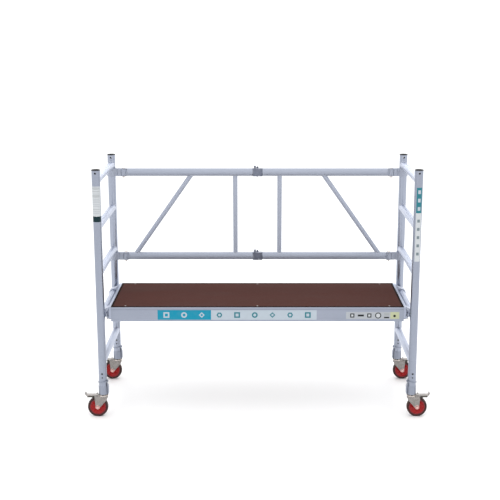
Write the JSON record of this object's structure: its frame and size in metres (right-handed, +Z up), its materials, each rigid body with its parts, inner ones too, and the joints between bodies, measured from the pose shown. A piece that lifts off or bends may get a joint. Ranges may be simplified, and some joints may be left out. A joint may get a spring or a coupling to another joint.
{
  "type": "folding room scaffold",
  "caption": "Rolling aluminium room scaffold: ladder end frames, folding rear guardrail gate, hooked deck, braked castors.",
  "frame": {"origin": "on the floor, below the middle of the scaffold", "axes": "+X along the length, +Y towards the folding gate, +Z up; the open side faces -Y"},
  "size_m": [2.126, 0.73, 1.538],
  "materials": {
    "aluminium_tube": "satin extruded",
    "cast_fitting": "cast, bead blasted",
    "zinc_steel": "zinc plated",
    "deck": "brown phenolic film on plywood",
    "tyre": "dark rubber",
    "red_plastic": "glossy red",
    "black_plastic": "black moulded trim"
  },
  "bodies": {
    "root": {"front_left_upright": "aluminium_tube", "front_right_upright": "aluminium_tube", "rear_left_upright": "aluminium_tube", "rear_right_upright": "aluminium_tube", "left_rungs": "aluminium_tube", "right_rungs": "aluminium_tube", "gate_brackets": "cast_fitting", "gate_pivot_bolts": "zinc_steel", "top_collars": "black_plastic", "leg_lock_levers": "cast_fitting", "leg_lock_clips": "zinc_steel", "castor_sleeves": "aluminium_tube", "castor_stems": "zinc_steel"},
    "gate_left": {"left_gate_upper_rail": "aluminium_tube", "left_gate_lower_rail": "aluminium_tube", "left_gate_post": "aluminium_tube", "left_gate_brace": "aluminium_tube", "left_gate_knuckles": "cast_fitting", "mid_hinge_forks": "cast_fitting", "mid_hinge_pins": "zinc_steel"},
    "gate_right": {"right_gate_upper_rail": "aluminium_tube", "right_gate_lower_rail": "aluminium_tube", "right_gate_post": "aluminium_tube", "right_gate_brace": "aluminium_tube", "right_gate_knuckles": "cast_fitting", "mid_hinge_tongues": "cast_fitting"},
    "upper_lock": {"upper_lock_pin": "zinc_steel"},
    "lower_lock": {"lower_lock_pin": "zinc_steel"},
    "platform": {"deck_board": "deck", "deck_screws": "zinc_steel", "front_edge_beam": "aluminium_tube", "rear_edge_beam": "aluminium_tube", "end_profiles": "aluminium_tube", "cross_bearers": "aluminium_tube", "rung_hooks": "cast_fitting", "latch_guides": "cast_fitting"},
    "front_left_latch": {"front_left_wind_latch": "zinc_steel"},
    "front_right_latch": {"front_right_wind_latch": "zinc_steel"},
    "rear_left_latch": {"rear_left_wind_latch": "zinc_steel"},
    "rear_right_latch": {"rear_right_wind_latch": "zinc_steel"},
    "front_left_castor": {"front_left_castor_fork": "zinc_steel", "front_left_castor_axle": "zinc_steel"},
    "front_left_wheel": {"front_left_castor_wheel": "red_plastic", "front_left_castor_tyre": "tyre"},
    "front_left_brake": {"front_left_castor_pedal": "zinc_steel"},
    "front_right_castor": {"front_right_castor_fork": "zinc_steel", "front_right_castor_axle": "zinc_steel"},
    "front_right_wheel": {"front_right_castor_wheel": "red_plastic", "front_right_castor_tyre": "tyre"},
    "front_right_brake": {"front_right_castor_pedal": "zinc_steel"},
    "rear_left_castor": {"rear_left_castor_fork": "zinc_steel", "rear_left_castor_axle": "zinc_steel"},
    "rear_left_wheel": {"rear_left_castor_wheel": "red_plastic", "rear_left_castor_tyre": "tyre"},
    "rear_left_brake": {"rear_left_castor_pedal": "zinc_steel"},
    "rear_right_castor": {"rear_right_castor_fork": "zinc_steel", "rear_right_castor_axle": "zinc_steel"},
    "rear_right_wheel": {"rear_right_castor_wheel": "red_plastic", "rear_right_castor_tyre": "tyre"},
    "rear_right_brake": {"rear_right_castor_pedal": "zinc_steel"}
  },
  "joints": [
    {"name": "gate_fold", "type": "hinge", "parent": "root", "child": "gate_left", "pos_m": [-0.872, 0.335, 1.14], "axis": [0, 0, -1], "range_deg": [0, 80]},
    {"name": "mid_fold", "type": "hinge", "parent": "gate_left", "child": "gate_right", "pos_m": [0, 0.355, 1.14], "axis": [0, 0, 1], "range_deg": [0, 160]},
    {"name": "upper_lock_lift", "type": "slide", "parent": "gate_left", "child": "upper_lock", "axis": [0, 0, 1], "range_m": [0, 0.008], "stiffness_N_per_m": 300, "springref_m": -0.006},
    {"name": "lower_lock_lift", "type": "slide", "parent": "gate_left", "child": "lower_lock", "axis": [0, 0, 1], "range_m": [0, 0.008], "stiffness_N_per_m": 300, "springref_m": -0.006},
    {"name": "platform_lift", "type": "slide", "parent": "root", "child": "platform", "axis": [0, 0, 1], "range_m": [0, 0.12]},
    {"name": "front_left_latch_slide", "type": "slide", "parent": "platform", "child": "front_left_latch", "axis": [-1, 0, 0], "range_m": [0, 0.024]},
    {"name": "front_right_latch_slide", "type": "slide", "parent": "platform", "child": "front_right_latch", "axis": [1, 0, 0], "range_m": [0, 0.024]},
    {"name": "rear_left_latch_slide", "type": "slide", "parent": "platform", "child": "rear_left_latch", "axis": [-1, 0, 0], "range_m": [0, 0.024]},
    {"name": "rear_right_latch_slide", "type": "slide", "parent": "platform", "child": "rear_right_latch", "axis": [1, 0, 0], "range_m": [0, 0.024]},
    {"name": "front_left_castor_swivel", "type": "hinge", "parent": "root", "child": "front_left_castor", "pos_m": [-0.95, -0.335, 0.136], "axis": [0, 0, 1], "continuous": true},
    {"name": "front_left_wheel_spin", "type": "hinge", "parent": "front_left_castor", "child": "front_left_wheel", "pos_m": [-0.985, -0.335, 0.0625], "axis": [0, 1, 0], "continuous": true},
    {"name": "front_left_brake_press", "type": "hinge", "parent": "front_left_castor", "child": "front_left_brake", "pos_m": [-0.991, -0.335, 0.1375], "axis": [0, -1, 0], "range_deg": [0, 6]},
    {"name": "front_right_castor_swivel", "type": "hinge", "parent": "root", "child": "front_right_castor", "pos_m": [0.95, -0.335, 0.136], "axis": [0, 0, 1], "continuous": true},
    {"name": "front_right_wheel_spin", "type": "hinge", "parent": "front_right_castor", "child": "front_right_wheel", "pos_m": [0.985, -0.335, 0.0625], "axis": [0, 1, 0], "continuous": true},
    {"name": "front_right_brake_press", "type": "hinge", "parent": "front_right_castor", "child": "front_right_brake", "pos_m": [0.991, -0.335, 0.1375], "axis": [0, 1, 0], "range_deg": [0, 6]},
    {"name": "rear_left_castor_swivel", "type": "hinge", "parent": "root", "child": "rear_left_castor", "pos_m": [-0.95, 0.335, 0.136], "axis": [0, 0, 1], "continuous": true},
    {"name": "rear_left_wheel_spin", "type": "hinge", "parent": "rear_left_castor", "child": "rear_left_wheel", "pos_m": [-0.985, 0.335, 0.0625], "axis": [0, 1, 0], "continuous": true},
    {"name": "rear_left_brake_press", "type": "hinge", "parent": "rear_left_castor", "child": "rear_left_brake", "pos_m": [-0.991, 0.335, 0.1375], "axis": [0, -1, 0], "range_deg": [0, 6]},
    {"name": "rear_right_castor_swivel", "type": "hinge", "parent": "root", "child": "rear_right_castor", "pos_m": [0.95, 0.335, 0.136], "axis": [0, 0, 1], "continuous": true},
    {"name": "rear_right_wheel_spin", "type": "hinge", "parent": "rear_right_castor", "child": "rear_right_wheel", "pos_m": [0.985, 0.335, 0.0625], "axis": [0, 1, 0], "continuous": true},
    {"name": "rear_right_brake_press", "type": "hinge", "parent": "rear_right_castor", "child": "rear_right_brake", "pos_m": [0.991, 0.335, 0.1375], "axis": [0, 1, 0], "range_deg": [0, 6]}
  ],
  "couplings": [
    {"joint": "mid_fold", "follows": "gate_fold", "ratio": 2}
  ]
}
